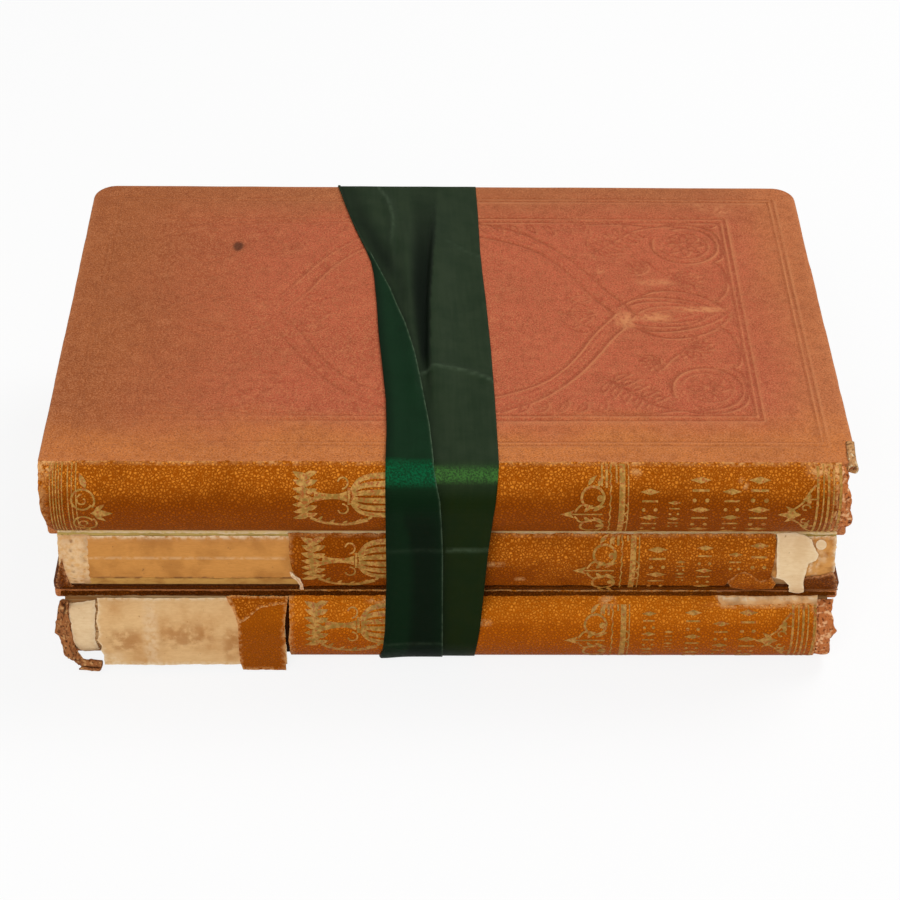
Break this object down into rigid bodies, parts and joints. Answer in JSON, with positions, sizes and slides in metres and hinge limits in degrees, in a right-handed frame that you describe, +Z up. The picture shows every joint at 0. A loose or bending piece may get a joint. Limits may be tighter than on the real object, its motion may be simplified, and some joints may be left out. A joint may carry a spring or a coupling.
{
  "type": "stack of books",
  "caption": "Stack of worn antique cloth-bound octavo books lying flat, tied around the middle with a wide satin ribbon.",
  "frame": {"origin": "on the surface that the stack rests on, below the middle of its box", "axes": "+X along the books from tail to head, -Y towards the spines, +Z up"},
  "size_m": [0.241, 0.162, 0.0782],
  "materials": {
    "page_edges": "aged paper, edges dusty and brown",
    "board": "raw grey-brown millboard",
    "endpaper": "yellowed coated paper",
    "cloth": "pebble-grained book cloth, rose on the covers and faded tan on the spines",
    "spine_paper": "cream paper with stains",
    "lining": "kraft paper with dried glue",
    "ribbon": "dark green satin"
  },
  "bodies": {
    "root": {"upper_text_block": "page_edges", "upper_front_board": "board", "upper_front_endpaper": "endpaper", "upper_back_board": "board", "upper_back_endpaper": "endpaper", "middle_text_block": "page_edges", "middle_front_board": "board", "middle_front_endpaper": "endpaper", "middle_back_board": "board", "middle_back_endpaper": "endpaper", "lower_text_block": "page_edges", "lower_front_board": "board", "lower_front_endpaper": "endpaper", "lower_back_board": "board", "lower_back_endpaper": "endpaper", "upper_cover_cloth": "cloth", "upper_spine_inlay": "spine_paper", "upper_spine_lining": "lining", "middle_back_cloth": "cloth", "middle_front_cloth": "cloth", "middle_spine_cloth": "cloth", "middle_spine_inlay": "spine_paper", "middle_spine_lining": "lining", "lower_cover_cloth": "cloth", "lower_spine_inlay": "spine_paper", "lower_spine_lining": "lining", "ribbon": "ribbon"}
  },
  "joints": []
}
